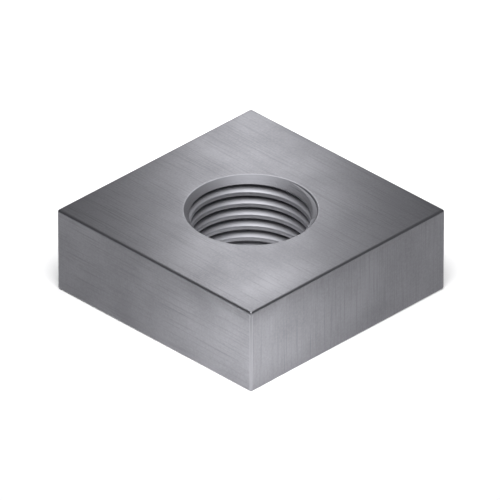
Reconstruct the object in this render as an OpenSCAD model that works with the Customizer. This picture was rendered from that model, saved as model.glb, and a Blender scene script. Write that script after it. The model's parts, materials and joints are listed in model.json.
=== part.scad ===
// Square nut: a flat square block of steel with a tapped hole through its middle.
// The bearing face lies on z = 0, the Z axis is the axis of the thread,
// and the sides face along X and Y. All sizes are in millimetres.

/* [Block] */
// Width across the flats, from one side to the opposite side
across_flats = 10.3; // [8:0.1:14]
// Thickness, from the bearing face to the top face
thickness = 3.5; // [2.4:0.1:6]
// Radius that tumbling leaves on the outer edges
edge_radius = 0.1; // [0.05:0.01:0.3]

/* [Thread] */
// Diameter over the roots of the thread
thread_d = 5; // [3:0.1:6]
// Distance from one turn of the thread to the next
thread_pitch = 0.5; // [0.3:0.05:0.8]
// Angle about Z at which the middle of a root meets the top face
thread_start = 103; // [0:1:360]

/* [Countersinks] */
// How far the mouth of a countersink stands outside the roots of the thread
mouth_margin = 0.03; // [0.01:0.01:0.2]
// Full angle of a countersink
countersink_angle = 90; // [82:1:120]

/* [Hidden] */
$fn = 96;
// Full angle between the two flanks of a turn
flank_angle = 60;
// Straight steps that one turn of the thread is drawn with
turn_steps = 24;
// The flat at the bottom of a root
root_flat = thread_pitch / 8;
// The tap drill is one pitch smaller than the thread, and its wall is the crests of the thread
tap_drill_d = thread_d - thread_pitch;
// How far the cutter of the thread stands inside the drilled wall
tap_lap = thread_pitch / 10;
mouth_d = thread_d + 2 * mouth_margin;
countersink_depth = (mouth_d - tap_drill_d) / 2 / tan(countersink_angle / 2);
// How far the cutter of the hole stands past both faces
overrun = 1;

// A rectangle about the origin with round corners
module rounded_rectangle(width, height, radius) {
    square([width - 2 * radius, height], center = true);
    square([width, height - 2 * radius], center = true);
    for (x = [-1, 1], y = [-1, 1])
        translate([x * (width / 2 - radius), y * (height / 2 - radius)])
            circle(r = radius);
}

// A bar through the origin along Z, as long as the nut is wide, with round long edges
module rounded_bar(width, height) {
    linear_extrude(across_flats, center = true)
        rounded_rectangle(width, height, edge_radius);
}

// The block that the hole is cut in: what a standing bar and two lying bars share
module block() {
    translate([0, 0, thickness / 2])
        intersection() {
            rounded_bar(across_flats, across_flats);
            rotate([90, 0, 0])
                rounded_bar(across_flats, thickness);
            rotate([90, 0, 90])
                rounded_bar(across_flats, thickness);
        }
}

// The space of the hole: the tap drill's cylinder with a countersink at each face
module hole_cutter() {
    drill_r = tap_drill_d / 2;
    outer_r = mouth_d / 2 + overrun * tan(countersink_angle / 2);
    rotate_extrude()
        polygon([
            [0, -overrun],
            [outer_r, -overrun],
            [drill_r, countersink_depth],
            [drill_r, thickness - countersink_depth],
            [outer_r, thickness + overrun],
            [0, thickness + overrun],
        ]);
}

// The space that the tap cuts: a groove with sloping flanks, wound right-handed
// about the axis from one pitch below the bearing face to one pitch above the top face
module tap_cutter() {
    root_r = thread_d / 2;
    inner_r = tap_drill_d / 2 - tap_lap;
    inner_width = root_flat + 2 * (root_r - inner_r) * tan(flank_angle / 2);
    // The groove's section, as radius and height about the middle of its root
    section = [
        [inner_r, -inner_width / 2],
        [root_r, -root_flat / 2],
        [root_r, root_flat / 2],
        [inner_r, inner_width / 2],
    ];
    corners = len(section);
    turns_below = ceil(thickness / thread_pitch) + 1;
    steps = turn_steps * (turns_below + 1);
    points = [
        for (step = [0:steps], corner = section)
            let (angle = thread_start + 360 * step / turn_steps)
            let (root_z = thickness + thread_pitch * (step / turn_steps - turns_below))
            [corner[0] * cos(angle), corner[0] * sin(angle), root_z + corner[1]]
    ];
    // Two triangles for each side of the section, from each step to the next
    skin = [
        for (step = [0:steps - 1], corner = [0:corners - 1])
            let (here = step * corners + corner)
            let (beside = step * corners + (corner + 1) % corners)
            each [[here, beside, beside + corners], [here, beside + corners, here + corners]]
    ];
    lower_end = [for (corner = [corners - 1:-1:0]) corner];
    upper_end = [for (corner = [0:corners - 1]) steps * corners + corner];
    polyhedron(points, [lower_end, each skin, upper_end]);
}

// The whole nut
module square_nut() {
    color("gray")
        difference() {
            block();
            hole_cutter();
            tap_cutter();
        }
}

square_nut();
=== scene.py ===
"""A square nut in plain tumbled steel: its block, its countersunk and tapped hole, and a small studio.

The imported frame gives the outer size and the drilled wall. The nut's skin keeps the solid's form and
adds the small rounds of its thread and its lips. The finish, the lamps and the camera are made here.
Lengths are written in millimetres and turned to metres where they are used.
"""

from __future__ import annotations

import json
import logging
import math
from dataclasses import dataclass
from enum import Enum

import bmesh
import bpy
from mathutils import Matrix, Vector

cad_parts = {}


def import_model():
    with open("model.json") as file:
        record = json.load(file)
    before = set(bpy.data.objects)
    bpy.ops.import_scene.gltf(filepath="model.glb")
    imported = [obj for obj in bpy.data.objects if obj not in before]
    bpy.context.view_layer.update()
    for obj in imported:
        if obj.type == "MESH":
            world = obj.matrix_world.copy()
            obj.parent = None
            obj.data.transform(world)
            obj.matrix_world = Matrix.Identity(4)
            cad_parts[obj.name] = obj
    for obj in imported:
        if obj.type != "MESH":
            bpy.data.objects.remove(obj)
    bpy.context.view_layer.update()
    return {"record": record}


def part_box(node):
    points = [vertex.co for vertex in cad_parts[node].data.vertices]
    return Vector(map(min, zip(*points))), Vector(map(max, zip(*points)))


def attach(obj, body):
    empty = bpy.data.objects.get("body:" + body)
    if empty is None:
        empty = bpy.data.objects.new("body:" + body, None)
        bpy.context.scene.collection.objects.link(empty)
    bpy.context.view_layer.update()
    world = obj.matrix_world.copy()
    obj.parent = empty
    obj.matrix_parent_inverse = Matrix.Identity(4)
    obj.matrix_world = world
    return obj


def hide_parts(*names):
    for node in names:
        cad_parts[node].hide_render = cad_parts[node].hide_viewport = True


log = logging.getLogger("square_nut")

MM = 0.001
NODE = "square_nut"
BODY = "root"
THREAD_MOUNT = "thread"

# Marks on the mesh, from 0 to 1, that the steel's finish reads
RUBBED_EDGE = "rubbed_edge"
CUT_THREAD = "cut_thread"
# Painted shade: a darker colour towards the bottom of each thread root
PAINTED_ROOT_SHADE = "thread_root_painted_shade"
# Where the countersinks lie; their colour there is painted shade, darker than the faces
COUNTERSINK = "countersink"
CUT_END = "cut_end"
FINISH_MARKS = (RUBBED_EDGE, CUT_THREAD, PAINTED_ROOT_SHADE, COUNTERSINK, CUT_END)
# A mark for building alone: where the thread runs out on a countersink
RUN_OUT = "run_out"

# A mix node's sockets, by number, because its values and its colours share their names
MIX_SHARE = 0
VALUE_A, VALUE_B, VALUE_MIXED = 2, 3, 0
COLOUR_A, COLOUR_B, COLOUR_MIXED = 6, 7, 2

Tree = bpy.types.NodeTree
Socket = bpy.types.NodeSocket
Marks = dict[str, Socket]
Point = tuple[float, float]
Colour = tuple[float, float, float, float]
# A column in plan: the middle of its edge round, the way out from there, and its share of a corner
Column = tuple[Vector, Vector, float]
# A point of the outside: x, y, height and its rubbed_edge mark
OuterPoint = tuple[float, float, float, float]
# A point of the threaded wall: height, radius and its run_out mark
WallPoint = tuple[float, float, float]


class Hand(Enum):
    """Which way a thread winds: the sign of its rise with the angle about +Z."""

    RIGHT = 1
    LEFT = -1


def linear(hex_colour: str) -> Colour:
    """Turns an sRGB hex colour into linear light.

    Args:
        hex_colour: A colour such as "#8c8c90".

    Returns:
        Linear red, green and blue, with an alpha of 1.
    """
    parts = [int(hex_colour[i : i + 2], 16) / 255 for i in (1, 3, 5)]
    red, green, blue = (c / 12.92 if c <= 0.04045 else ((c + 0.055) / 1.055) ** 2.4 for c in parts)
    return red, green, blue, 1.0


def add_node(
    tree: Tree,
    kind: str,
    settings: dict[str, object] | None = None,
    inputs: dict[str | int, object] | None = None,
) -> bpy.types.Node:
    """Adds a shader node with its settings, and sets or links its inputs.

    Args:
        tree: The node tree to add to.
        kind: The node's type, such as "ShaderNodeTexNoise".
        settings: Properties of the node itself.
        inputs: For each input, by name or number, a plain value or the output socket to link.

    Returns:
        The new node.
    """
    node = tree.nodes.new(kind)
    for name, value in (settings or {}).items():
        setattr(node, name, value)
    for key, value in (inputs or {}).items():
        socket = node.inputs[key]
        if isinstance(value, Socket):
            tree.links.new(value, socket)
        else:
            socket.default_value = value
    return node


def bare_material(name: str) -> bpy.types.Material:
    """Makes a material with an empty node tree.

    Args:
        name: The material's name.

    Returns:
        The material.
    """
    material = bpy.data.materials.new(name)
    material.use_nodes = True
    material.node_tree.nodes.clear()
    return material


def settle(name: str, mesh: bmesh.types.BMesh) -> bpy.types.Mesh:
    """Turns a mesh that was being built into mesh data.

    Args:
        name: The name of the data.
        mesh: The built mesh, which is freed.

    Returns:
        The mesh data.
    """
    data = bpy.data.meshes.new(name)
    mesh.to_mesh(data)
    mesh.free()
    return data


def put_in_scene(name: str, data: bpy.types.ID) -> bpy.types.Object:
    """Makes an object of a mesh, a light or a camera, and puts it in the scene.

    Args:
        name: The object's name.
        data: What the object shows.

    Returns:
        The object.
    """
    made = bpy.data.objects.new(name, data)
    bpy.context.scene.collection.objects.link(made)
    return made


def rounded(corners: list[Point], radii: list[float], steps: int) -> list[Point]:
    """Rounds the inner corners of an open outline with arcs.

    Args:
        corners: The outline's corners, in order, with its two end points.
        radii: The radius of each inner corner, so two fewer than there are corners.
        steps: The straight steps that each arc is drawn with.

    Returns:
        The points of the arcs, in order, without the two end points.
    """
    points: list[Point] = []
    for before, corner, after, radius in zip(corners, corners[1:], corners[2:], radii):
        here = Vector(corner)
        into = (here - Vector(before)).normalized()
        out = (Vector(after) - here).normalized()
        turn = math.acos(max(-1.0, min(1.0, into.dot(out))))
        reach = radius * math.tan(turn / 2)
        start = here - into * reach
        side = (out - into * into.dot(out)).normalized()
        centre = start + side * radius
        for i in range(steps + 1):
            angle = turn * i / steps
            point = centre + (into * math.sin(angle) - side * math.cos(angle)) * radius
            points.append((point.x, point.y))
    return points


@dataclass(frozen=True)
class TumbledSteel:
    """Low-carbon steel bar, cold drawn, sheared and tapped, then tumbled with fine stone and left bare.

    Drawing leaves fine straight lines along the bar, which runs along X, and the shear leaves upright
    ones on the two cut ends. Tumbling dulls both to a satin grey with a soft wide shine and a fine
    grain, and rubs the edges smoother than the faces. The tap leaves the thread brighter, and the tools
    that turned in the hole leave faint rings on its countersinks and its thread. The thread's roots are
    coloured darker towards the bottom of each groove, as painted shade, and the countersinks darker
    than the faces, as painted shade that holds down the key light's highlight on them.
    """

    name: str = "cold_drawn_steel_tumbled"
    face_hex: str = "#7d7d81"
    dull_hex: str = "#747478"
    line_hex: str = "#6c6c70"
    rubbed_hex: str = "#7f7f83"
    cut_hex: str = "#949499"
    # Painted shade: the colour towards the bottom of each thread root, darker than the cut thread
    root_painted_shade_hex: str = "#747478"
    # Painted shade: the countersinks darker than the faces, to hold down the key light's highlight on them
    countersink_painted_shade_hex: str = "#6c6c70"
    face_roughness_low: float = 0.49
    face_roughness_high: float = 0.57
    rubbed_roughness: float = 0.38
    cut_roughness: float = 0.58
    countersink_roughness: float = 0.62
    # Stone marks of about 0.03 mm are drawn at 0.09 mm, because a pixel covers 0.04 mm
    grain_mm: float = 0.09
    grain_octaves: float = 2.0
    grain_depth_mm: float = 0.0013
    # Cloudy patches where the stones rubbed more or less, with some grain speckled over them
    cloud_mm: float = 2.4
    cloud_octaves: float = 3.0
    speckle_share: float = 0.35
    # The part of the patches' range that goes from dull to rubbed bare
    patch_low: float = 0.38
    patch_high: float = 0.62
    # Lines a few hundredths of a millimetre wide, drawn at 0.06 mm for the same reason as the grain
    line_mm: float = 0.06
    line_length_mm: float = 2.5
    line_octaves: float = 2.0
    line_depth_mm: float = 0.0026
    # The part of the lines' range that goes from no line to the deepest
    line_low: float = 0.5
    line_high: float = 0.8
    # Tool rings of about 0.02 mm, drawn at 0.06 mm for the same reason
    ring_mm: float = 0.06
    ring_octaves: float = 1.0
    ring_depth_mm: float = 0.0025

    def build(self) -> bpy.types.Material:
        """Makes the material.

        Returns:
            The finished steel.
        """
        material = bare_material(self.name)
        tree = material.node_tree
        place = add_node(tree, "ShaderNodeTexCoord").outputs["Object"]
        marks = {
            name: add_node(tree, "ShaderNodeAttribute", {"attribute_name": name}).outputs["Fac"]
            for name in FINISH_MARKS
        }
        sizes = ((self.grain_mm, self.grain_octaves), (self.cloud_mm, self.cloud_octaves))
        grain, cloud = (
            add_node(
                tree,
                "ShaderNodeTexNoise",
                inputs={"Vector": place, "Scale": 1 / (size_mm * MM), "Detail": octaves},
            ).outputs["Fac"]
            for size_mm, octaves in sizes
        )
        speckled = add_node(
            tree, "ShaderNodeMix", inputs={MIX_SHARE: self.speckle_share, VALUE_A: cloud, VALUE_B: grain}
        ).outputs[VALUE_MIXED]
        patches = add_node(
            tree,
            "ShaderNodeMapRange",
            inputs={"Value": speckled, "From Min": self.patch_low, "From Max": self.patch_high},
        ).outputs["Result"]
        lines = self.lines(tree, marks, place)
        shader = add_node(
            tree,
            "ShaderNodeBsdfPrincipled",
            inputs={
                "Base Color": self.colour(tree, marks, patches, lines),
                "Metallic": 1.0,
                "Roughness": self.roughness(tree, marks, patches),
                "Normal": self.relief(tree, marks, place, grain, lines),
            },
        )
        add_node(tree, "ShaderNodeOutputMaterial", inputs={"Surface": shader.outputs["BSDF"]})
        return material

    def colour(self, tree: Tree, marks: Marks, patches: Socket, lines: Socket) -> Socket:
        """Mixes the steel's colours by the marks on the mesh.

        Args:
            tree: The material's node tree.
            marks: A socket for each mark.
            patches: The cloudy patches, from 0 to 1.
            lines: The drawn and sheared lines, from 0 to 1.

        Returns:
            The colour.
        """
        mixed: Colour | Socket = linear(self.dull_hex)
        for share, hex_colour in (
            (patches, self.face_hex),
            (lines, self.line_hex),
            (marks[RUBBED_EDGE], self.rubbed_hex),
            (marks[CUT_THREAD], self.cut_hex),
            # Painted shade towards the bottom of each thread root
            (marks[PAINTED_ROOT_SHADE], self.root_painted_shade_hex),
            # Painted shade: the countersinks darker, to hold down the key light's highlight on them
            (marks[COUNTERSINK], self.countersink_painted_shade_hex),
        ):
            mixed = add_node(
                tree,
                "ShaderNodeMix",
                {"data_type": "RGBA"},
                {MIX_SHARE: share, COLOUR_A: mixed, COLOUR_B: linear(hex_colour)},
            ).outputs[COLOUR_MIXED]
        return mixed

    def roughness(self, tree: Tree, marks: Marks, patches: Socket) -> Socket:
        """Mixes how rough the steel is by the marks on the mesh.

        Args:
            tree: The material's node tree.
            marks: A socket for each mark.
            patches: The cloudy patches, from 0 to 1.

        Returns:
            The roughness.
        """
        mixed: float | Socket = self.face_roughness_high
        for share, value in (
            (patches, self.face_roughness_low),
            (marks[RUBBED_EDGE], self.rubbed_roughness),
            (marks[CUT_THREAD], self.cut_roughness),
            (marks[COUNTERSINK], self.countersink_roughness),
        ):
            mixed = add_node(
                tree, "ShaderNodeMix", inputs={MIX_SHARE: share, VALUE_A: mixed, VALUE_B: value}
            ).outputs[VALUE_MIXED]
        return mixed

    def relief(self, tree: Tree, marks: Marks, place: Socket, grain: Socket, lines: Socket) -> Socket:
        """Lays the fine relief of the surface: the grain, the drawn or sheared lines and the tool rings.

        Args:
            tree: The material's node tree.
            marks: A socket for each mark.
            place: Where on the piece the surface lies, in metres.
            grain: The stone marks, from 0 to 1.
            lines: The drawn and sheared lines, from 0 to 1.

        Returns:
            The bumped normal.
        """
        turned = add_node(
            tree, "ShaderNodeMath", {"operation": "MAXIMUM"}, {0: marks[CUT_THREAD], 1: marks[COUNTERSINK]}
        ).outputs["Value"]
        rings = add_node(
            tree, "ShaderNodeMath", {"operation": "MULTIPLY"}, {0: self.rings(tree, place), 1: turned}
        ).outputs["Value"]
        normal = None
        for height, depth_mm, sunk in (
            (grain, self.grain_depth_mm, False),
            (lines, self.line_depth_mm, True),
            (rings, self.ring_depth_mm, True),
        ):
            bump = add_node(
                tree, "ShaderNodeBump", {"invert": sunk}, {"Height": height, "Distance": depth_mm * MM}
            )
            if normal is not None:
                tree.links.new(normal, bump.inputs["Normal"])
            normal = bump.outputs["Normal"]
        return normal

    def rings(self, tree: Tree, place: Socket) -> Socket:
        """Draws the rings that a turning tool leaves about the hole's axis.

        Args:
            tree: The material's node tree.
            place: Where on the piece the surface lies, in metres.

        Returns:
            A socket that varies with the radius and the height alone.
        """
        parts = add_node(tree, "ShaderNodeSeparateXYZ", inputs={"Vector": place}).outputs
        plan = add_node(tree, "ShaderNodeCombineXYZ", inputs={"X": parts["X"], "Y": parts["Y"]})
        radius = add_node(
            tree, "ShaderNodeVectorMath", {"operation": "LENGTH"}, {0: plan.outputs["Vector"]}
        ).outputs["Value"]
        section = add_node(tree, "ShaderNodeCombineXYZ", inputs={"X": radius, "Y": parts["Z"]})
        return add_node(
            tree,
            "ShaderNodeTexNoise",
            {"noise_dimensions": "2D"},
            {
                "Vector": section.outputs["Vector"],
                "Scale": 1 / (self.ring_mm * MM),
                "Detail": self.ring_octaves,
            },
        ).outputs["Fac"]

    def lines(self, tree: Tree, marks: Marks, place: Socket) -> Socket:
        """Draws fine straight lines, none of them through: along the bar, or upright on its cut ends.

        Args:
            tree: The material's node tree.
            marks: A socket for each mark.
            place: Where on the piece the surface lies, in metres.

        Returns:
            A socket that is 1 in the deepest lines and 0 beside them.
        """
        long, fine = self.line_length_mm * MM, self.line_mm * MM
        streaks = []
        for size in ((long, fine, fine), (fine, fine, long)):
            stretched = add_node(
                tree, "ShaderNodeMapping", {"vector_type": "TEXTURE"}, {"Vector": place, "Scale": size}
            ).outputs["Vector"]
            # The mapping has the size already, so the noise itself has a scale of 1
            noise = add_node(
                tree,
                "ShaderNodeTexNoise",
                inputs={"Vector": stretched, "Scale": 1.0, "Detail": self.line_octaves},
            )
            streaks.append(noise.outputs["Fac"])
        drawn, sheared = streaks
        mixed = add_node(
            tree, "ShaderNodeMix", inputs={MIX_SHARE: marks[CUT_END], VALUE_A: drawn, VALUE_B: sheared}
        ).outputs[VALUE_MIXED]
        return add_node(
            tree,
            "ShaderNodeMapRange",
            inputs={"Value": mixed, "From Min": self.line_low, "From Max": self.line_high},
        ).outputs["Result"]


@dataclass(frozen=True)
class StudioPaper:
    """Matt white paper, uncoated: even and pale, with no shine to mirror the nut."""

    name: str = "white_paper_uncoated"
    sheet_hex: str = "#f8f8f8"
    fibre_hex: str = "#f6f6f6"
    fibre_mm: float = 6.0

    def build(self) -> bpy.types.Material:
        """Makes the material.

        Returns:
            The finished paper.
        """
        material = bare_material(self.name)
        tree = material.node_tree
        place = add_node(tree, "ShaderNodeTexCoord").outputs["Object"]
        fibre = add_node(
            tree, "ShaderNodeTexNoise", inputs={"Vector": place, "Scale": 1 / (self.fibre_mm * MM)}
        ).outputs["Fac"]
        colour = add_node(
            tree,
            "ShaderNodeMix",
            {"data_type": "RGBA"},
            {MIX_SHARE: fibre, COLOUR_A: linear(self.fibre_hex), COLOUR_B: linear(self.sheet_hex)},
        ).outputs[COLOUR_MIXED]
        shader = add_node(tree, "ShaderNodeBsdfDiffuse", inputs={"Color": colour})
        add_node(tree, "ShaderNodeOutputMaterial", inputs={"Surface": shader.outputs["BSDF"]})
        return material


@dataclass
class Thread:
    """The turns cut in the hole's wall: a 60 degree thread with small rounds. Sizes in millimetres."""

    crest_r: float
    root_r: float = 2.5
    pitch: float = 0.5
    flank_deg: float = 30.0
    # The flat at the bottom of a root, as a share of the pitch
    root_flat: float = 1 / 8
    crest_round: float = 0.06
    root_round: float = 0.04
    round_steps: int = 3
    hand: Hand = Hand.RIGHT

    def section(self) -> list[Point]:
        """Works out one turn's section: a crest and the root above it.

        Returns:
            Points, upwards, as height above the middle of that root and radius.
        """
        run = (self.root_r - self.crest_r) * math.tan(math.radians(self.flank_deg))
        root_half = self.pitch * self.root_flat / 2
        crest_top = -root_half - run
        crest_bottom = root_half + run - self.pitch
        corners = [
            (crest_bottom - run, self.root_r),
            (crest_bottom, self.crest_r),
            (crest_top, self.crest_r),
            (-root_half, self.root_r),
            (root_half, self.root_r),
            (root_half + run, self.crest_r),
        ]
        radii = [self.crest_round, self.crest_round, self.root_round, self.root_round]
        return rounded(corners, radii, self.round_steps)

    def root_share(self, radius: float) -> float:
        """Gives how near to a root a radius lies, from 0 at half depth to 1, for the painted shade in the
        roots.
        """
        depth_share = (radius - self.crest_r) / (self.root_r - self.crest_r)
        return max(0.0, min(1.0, 2 * depth_share - 1))


@dataclass
class SquareNut:
    """The nut as one closed skin round its block and through its tapped hole. Sizes in millimetres."""

    width: float
    thickness: float
    wall_length: float
    thread: Thread
    # The angle about +Z at which the middle of a root meets the top face
    thread_start_deg: float = 103.0
    # Turns that start past each face, for the countersinks to cut off
    spare_turns: int = 2
    edge_radius: float = 0.1
    edge_steps: int = 6
    mouth_margin: float = 0.03
    # The round that tumbling leaves on the lip between a face and its countersink
    lip_round: float = 0.07
    lip_steps: int = 4
    side_columns: int = 54
    corner_columns: int = 7
    # Half the angle that a side's columns are spread over, seen from the middle of the nut
    spread_deg: float = 40.0
    # Rings this close to a round keep the shading of the flat faces flat
    guard: float = 0.03
    # Points closer than this become one
    merge: float = 1e-4
    # Faces that turn by more than this meet in a crisp edge; the second is for the thread's run-out
    sharp_deg: float = 28.0
    run_out_deg: float = 5.0
    # How much of the thread's cut_thread mark its run-out edges carry, since a countersink is not tapped
    # and its colour is painted darker as shade
    run_out_cut: float = 0.25

    @property
    def mouth_r(self) -> float:
        """Radius of a countersink at the face."""
        return self.thread.root_r + self.mouth_margin

    @property
    def countersink_depth(self) -> float:
        """Depth of a countersink, from the face to the drilled wall."""
        return (self.thickness - self.wall_length) / 2

    def countersink_r(self, height: float) -> float:
        """Gives the radius of the nearer countersink at a height."""
        slope = (self.mouth_r - self.thread.crest_r) / self.countersink_depth
        return self.mouth_r - min(height, self.thickness - height) * slope

    def outline_columns(self) -> list[Column]:
        """Places the columns of the skin round the block's plan.

        Returns:
            For each column, the middle of its edge round in plan, the way out from there, and how
            much of the round upright corner it lies on, from 0 on a flat to 1.
        """
        core = self.width / 2 - self.edge_radius
        inner = self.side_columns - 2
        # Even angles, so that the columns run nearly straight out from the hole
        spread = math.radians(self.spread_deg)
        along = [math.tan(spread * (2 * i / (inner - 1) - 1)) / math.tan(spread) for i in range(inner)]
        steps = [-core, *(a * (core - self.guard) for a in along), core]
        columns: list[Column] = []
        for side in range(4):
            out = Vector((math.cos(side * math.pi / 2), math.sin(side * math.pi / 2)))
            left = Vector((-out.y, out.x))
            columns += [(out * core + left * step, out, 0.0) for step in steps]
            for i in range(self.corner_columns):
                angle = math.pi / 2 * (i + 1) / (self.corner_columns + 1)
                normal = out * math.cos(angle) + left * math.sin(angle)
                columns.append(((out + left) * core, normal, 1.0))
        return columns

    def outer_column(self, core: Vector, normal: Vector, corner: float, angle: float) -> list[OuterPoint]:
        """Runs one column from the upper mouth over the outside to the lower mouth.

        Args:
            core: The middle of the edge round in plan.
            normal: The way out from there.
            corner: How much of the column lies on a round upright corner.
            angle: The column's angle on the hole's rim.

        Returns:
            Each point as x, y, height and its rubbed_edge mark.
        """
        rim = Vector((math.cos(angle), math.sin(angle)))
        slope_start = (self.thread.crest_r, self.countersink_depth)
        mouth = [slope_start, (self.mouth_r, 0.0), (self.width, 0.0)]
        lip = rounded(mouth, [self.lip_round], self.lip_steps)
        half: list[OuterPoint] = []
        for i, (radius, drop) in enumerate(lip):
            half.append((*(rim * radius), drop, math.sin(math.pi * i / self.lip_steps)))
        half.append((*(rim * (lip[-1][0] + self.guard)), 0.0, 0.0))
        flat = self.width / 2 - self.edge_radius - self.guard
        half.append((max(-flat, min(flat, core.x)), max(-flat, min(flat, core.y)), 0.0, 0.0))
        for i in range(self.edge_steps + 1):
            turn = math.pi / 2 * i / self.edge_steps
            reach = core + normal * self.edge_radius * math.sin(turn)
            drop = self.edge_radius * (1 - math.cos(turn))
            half.append((*reach, drop, max(corner, math.sin(2 * turn))))
        skin = core + normal * self.edge_radius
        half.append((*skin, self.edge_radius + self.guard, corner))
        upper = [(x, y, self.thickness - drop, mark) for x, y, drop, mark in half]
        lower = [(x, y, drop, mark) for x, y, drop, mark in reversed(half)]
        return upper + lower

    def thread_column(self, angle: float, section: list[Point], turns: range) -> list[WallPoint]:
        """Runs one column up the threaded wall, from one mouth of the hole to the other.

        Args:
            angle: The column's angle about the axis.
            section: One turn's section.
            turns: The turns to run through, counted from the one at thread_start_deg.

        Returns:
            Each point as height, radius and 1 where a countersink cuts it off, so that it lies on the
            edge between them, or else 0.
        """
        turned = (angle - math.radians(self.thread_start_deg)) / math.tau
        base = self.thickness + self.thread.hand.value * self.thread.pitch * turned
        points = [(base + n * self.thread.pitch + z, r) for n in turns for z, r in section]
        # How far out past the countersinks' slopes each point lies; those short of them are cut off
        depths = [r - self.countersink_r(z) for z, r in points]
        kept = [i for i, depth in enumerate(depths) if depth >= 0]
        column: list[WallPoint] = []
        for i, (z, r) in enumerate(points):
            if depths[i] < 0:
                inside = min(kept, key=lambda k: abs(k - i))
                beyond = inside + (1 if i > inside else -1)
                share = depths[inside] / (depths[inside] - depths[beyond])
                z, r = (a + (b - a) * share for a, b in zip(points[inside], points[beyond]))
            column.append((z, r, float(depths[i] < 0)))
        return column

    def build(self) -> bpy.types.Object:
        """Makes the nut's mesh.

        Returns:
            The nut, with its marks on its points and no material.
        """
        columns = self.outline_columns()
        section = self.thread.section()
        turns_below = math.ceil(self.thickness / self.thread.pitch) + self.spare_turns
        turns = range(-turns_below, self.spare_turns)
        step = math.tau / len(columns)
        # The middle column of the first side faces along +X
        first_angle = -step * (self.side_columns - 1) / 2
        mesh = bmesh.new()
        marks = {name: mesh.verts.layers.float.new(name) for name in (*FINISH_MARKS, RUN_OUT)}
        grid: list[list[bmesh.types.BMVert]] = []
        for i, (core, normal, corner) in enumerate(columns):
            angle = first_angle + step * i
            ring = []
            for x, y, z, mark in self.outer_column(core, normal, corner, angle):
                vert = mesh.verts.new((x * MM, y * MM, z * MM))
                vert[marks[RUBBED_EDGE]] = mark
                vert[marks[CUT_END]] = float(math.isclose(abs(x), self.width / 2))
                ring.append(vert)
            for k in range(self.lip_steps):
                for vert in (ring[k], ring[-1 - k]):
                    vert[marks[COUNTERSINK]] = 1 - k / self.lip_steps
            outside = len(ring)
            for z, r, run_out in self.thread_column(angle, section, turns):
                vert = mesh.verts.new((r * math.cos(angle) * MM, r * math.sin(angle) * MM, z * MM))
                vert[marks[CUT_THREAD]] = self.run_out_cut if run_out else 1.0
                vert[marks[COUNTERSINK]] = run_out
                # The root mark paints shade, darker towards the bottom of each groove
                vert[marks[PAINTED_ROOT_SHADE]] = 0.0 if run_out else self.thread.root_share(r)
                vert[marks[RUN_OUT]] = run_out
                ring.append(vert)
            grid.append(ring)
        self.skin(mesh, grid, outside, len(section) * self.thread.hand.value)
        return put_in_scene("threaded_square_nut", settle(NODE, mesh))

    def skin(
        self,
        mesh: bmesh.types.BMesh,
        grid: list[list[bmesh.types.BMVert]],
        outside: int,
        shift: int,
    ) -> None:
        """Joins the columns with faces, and tidies what falls together.

        Args:
            mesh: The mesh that holds the points.
            grid: The points of each column, the outside first and then the threaded wall.
            outside: How many points of a column lie outside the threaded wall.
            shift: The rows of thread that one way round climbs.
        """
        rows = len(grid[0])
        for i, ring in enumerate(grid):
            beside = grid[(i + 1) % len(grid)]
            if i == len(grid) - 1:
                wall = beside[outside:]
                held = [max(0, min(len(wall) - 1, k + shift)) for k in range(len(wall))]
                beside = beside[:outside] + [wall[k] for k in held]
            for row in range(rows):
                after = (row + 1) % rows
                corners = [ring[row], ring[after], beside[after], beside[row]]
                loop = list(dict.fromkeys(corners))
                if len(loop) > 2 and mesh.faces.get(loop) is None:
                    mesh.faces.new(loop)
        bmesh.ops.remove_doubles(mesh, verts=mesh.verts, dist=self.merge * MM)
        bmesh.ops.dissolve_degenerate(mesh, edges=mesh.edges, dist=self.merge * MM)
        bmesh.ops.recalc_face_normals(mesh, faces=mesh.faces)
        run_out = mesh.verts.layers.float[RUN_OUT]
        for face in mesh.faces:
            face.smooth = True
        for edge in mesh.edges:
            cut_off = all(vert[run_out] for vert in edge.verts)
            sharp = math.radians(self.run_out_deg if cut_off else self.sharp_deg)
            edge.smooth = len(edge.link_faces) == 2 and edge.calc_face_angle() < sharp
        mesh.verts.layers.float.remove(run_out)

    def dress(self, nut: bpy.types.Object, finish: TumbledSteel) -> None:
        """Gives the nut its finish and its place in the frame.

        Args:
            nut: The nut's object.
            finish: The steel that it is made of.
        """
        nut.data.materials.append(finish.build())
        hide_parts(NODE)
        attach(nut, BODY)


@dataclass(frozen=True)
class SoftBox:
    """A flat soft lamp that faces straight down, placed as the camera sees it.

    Its width lies across the picture and its depth away from the camera. Sizes are in millimetres,
    and a brightness of 1 is white.
    """

    name: str
    right: float
    away: float
    up: float
    width: float
    depth: float
    brightness: float


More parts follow.
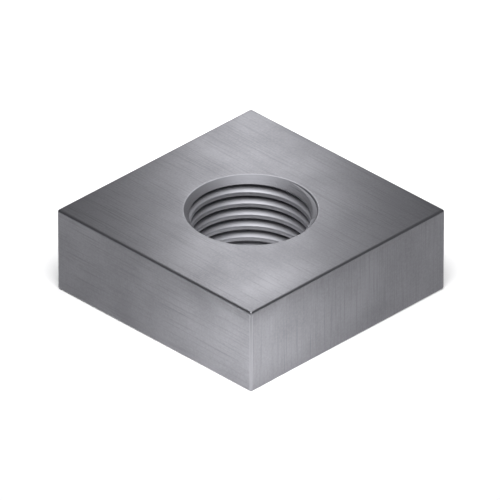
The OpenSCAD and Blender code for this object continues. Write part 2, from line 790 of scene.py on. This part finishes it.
@dataclass
class Studio:
    """A sheet of white paper, soft lamps and a long lens. Sizes in millimetres."""

    subject_width: float
    subject_height: float
    azimuth_deg: float = 45.0
    elevation_deg: float = 32.0
    # The picture is 500 pixels wide, and the nut's diagonal covers 388 of them
    picture_px: float = 500.0
    diagonal_px: float = 388.0
    # How far right and down of the picture's middle the nut's middle lies
    right_px: float = 1.0
    down_px: float = -1.0
    # Parallel edges stay parallel in the picture, so the lens is very long
    lens: float = 1000.0
    sensor: float = 36.0
    # The nearest and the farthest that the camera sees, as shares of its distance
    clip_near: float = 0.1
    clip_far: float = 10.0
    floor_radius: float = 3000.0
    floor_segments: int = 96
    key_strength: float = 3.0
    key_spread_deg: float = 40.0
    key_elevation_deg: float = 62.0
    room_hex: str = "#5a5a5d"
    # The top face mirrors the top strip in its middle and the dim fill towards its ends. The front
    # strips light the paper that the two front sides mirror near their shared edge.
    soft_boxes: tuple[SoftBox, ...] = (
        SoftBox("top_strip", right=0.0, away=10.5, up=10.0, width=4.2, depth=30.0, brightness=4.25),
        SoftBox("top_fill", right=0.0, away=10.5, up=10.5, width=14.0, depth=30.0, brightness=0.3),
        SoftBox("left_front_strip", right=-4.6, away=-8.2, up=3.2, width=6.8, depth=2.2, brightness=8.8),
        SoftBox("right_front_strip", right=4.6, away=-8.2, up=3.2, width=6.8, depth=2.2, brightness=8.8),
    )

    def point(self, right: float, away: float, up: float) -> Vector:
        """Turns a place as the camera sees it into the nut's frame.

        Args:
            right: How far to the camera's right of the nut's axis.
            away: How far past the axis, along the floor.
            up: How far above the floor.

        Returns:
            The point, in metres.
        """
        turn = math.radians(self.azimuth_deg)
        across = Vector((math.cos(turn), math.sin(turn), 0.0))
        along = Vector((-math.sin(turn), math.cos(turn), 0.0))
        return (across * right + along * away + Vector((0.0, 0.0, up))) * MM

    def lay_floor(self, finish: StudioPaper) -> bpy.types.Object:
        """Lays the paper on the plane that the nut rests on.

        Args:
            finish: The paper's finish.

        Returns:
            The floor.
        """
        mesh = bmesh.new()
        radius = self.floor_radius * MM
        bmesh.ops.create_circle(mesh, cap_ends=True, radius=radius, segments=self.floor_segments)
        floor = put_in_scene("paper_floor", settle("paper_floor", mesh))
        floor.data.materials.append(finish.build())
        return floor

    def hang(self, box: SoftBox) -> bpy.types.Object:
        """Hangs one soft box.

        Args:
            box: The lamp's place, size and brightness.

        Returns:
            The lamp.
        """
        light = bpy.data.lights.new(box.name, "AREA")
        light.shape = "RECTANGLE"
        light.size = box.width * MM
        light.size_y = box.depth * MM
        light.energy = box.brightness * math.pi * light.size * light.size_y
        lamp = put_in_scene(box.name, light)
        lamp.location = self.point(box.right, box.away, box.up)
        lamp.rotation_euler = (0.0, 0.0, math.radians(self.azimuth_deg))
        lamp.visible_camera = False
        return lamp

    def hang_key(self) -> bpy.types.Object:
        """Hangs the key light, wide and far off, in front of the nut and above it.

        Returns:
            The lamp.
        """
        light = bpy.data.lights.new("key_light", "SUN")
        light.energy = self.key_strength
        light.angle = math.radians(self.key_spread_deg)
        lamp = put_in_scene(light.name, light)
        rise = math.radians(self.key_elevation_deg)
        fall = self.point(0, math.cos(rise), -math.sin(rise))
        lamp.rotation_euler = fall.to_track_quat("-Z", "Y").to_euler()
        return lamp

    def light_room(self) -> bpy.types.World:
        """Sets the dim even light of the room itself.

        Returns:
            The world.
        """
        world = bpy.data.worlds.new("studio_room")
        world.use_nodes = True
        world.node_tree.nodes["Background"].inputs["Color"].default_value = linear(self.room_hex)
        bpy.context.scene.world = world
        return world

    def set_camera(self) -> bpy.types.Object:
        """Sets up the camera at the picture's angle.

        Returns:
            The camera.
        """
        rise = math.radians(self.elevation_deg)
        frame_width = self.subject_width * math.sqrt(2) * self.picture_px / self.diagonal_px
        pixel = frame_width / self.picture_px
        distance = frame_width * self.lens / self.sensor
        lift = self.down_px * pixel
        aim = self.point(
            -self.right_px * pixel,
            lift * math.sin(rise),
            self.subject_height / 2 + lift * math.cos(rise),
        )
        back = self.point(0, -math.cos(rise), math.sin(rise)) / MM
        data = bpy.data.cameras.new("long_lens")
        data.lens = self.lens
        data.sensor_width = self.sensor
        data.clip_start = distance * self.clip_near * MM
        data.clip_end = distance * self.clip_far * MM
        camera = put_in_scene(data.name, data)
        camera.location = aim + back * distance * MM
        camera.rotation_euler = (-back).to_track_quat("-Z", "Y").to_euler()
        bpy.context.scene.camera = camera
        return camera


def main() -> None:
    """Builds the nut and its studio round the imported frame."""
    logging.basicConfig(level=logging.INFO, format="%(name)s: %(message)s")
    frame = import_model()
    low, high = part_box(NODE)
    width = (high.x - low.x) / MM
    thickness = (high.z - low.z) / MM
    hole = next(m for m in frame["record"]["mounts"] if m["name"] == THREAD_MOUNT)["dims"]

    nut = SquareNut(
        width=width,
        thickness=thickness,
        wall_length=hole["length_mm"],
        thread=Thread(crest_r=hole["r_mm"]),
    )
    piece = nut.build()
    nut.dress(piece, TumbledSteel())
    log.info("%s: %d faces, %.2f by %.2f mm", piece.name, len(piece.data.polygons), width, thickness)

    studio = Studio(subject_width=width, subject_height=thickness)
    floor = studio.lay_floor(StudioPaper())
    log.info("%s: laid at the nut's bearing face", floor.name)
    lamps = [studio.hang_key(), *(studio.hang(box) for box in studio.soft_boxes)]
    for lamp in lamps:
        log.info("%s: hung", lamp.name)
    log.info("%s: lit", studio.light_room().name)
    camera = studio.set_camera()
    log.info("%s: %.0f mm from the nut", camera.name, camera.location.length / MM)

    bpy.context.scene.view_settings.view_transform = "Standard"


if __name__ == "__main__":
    main()
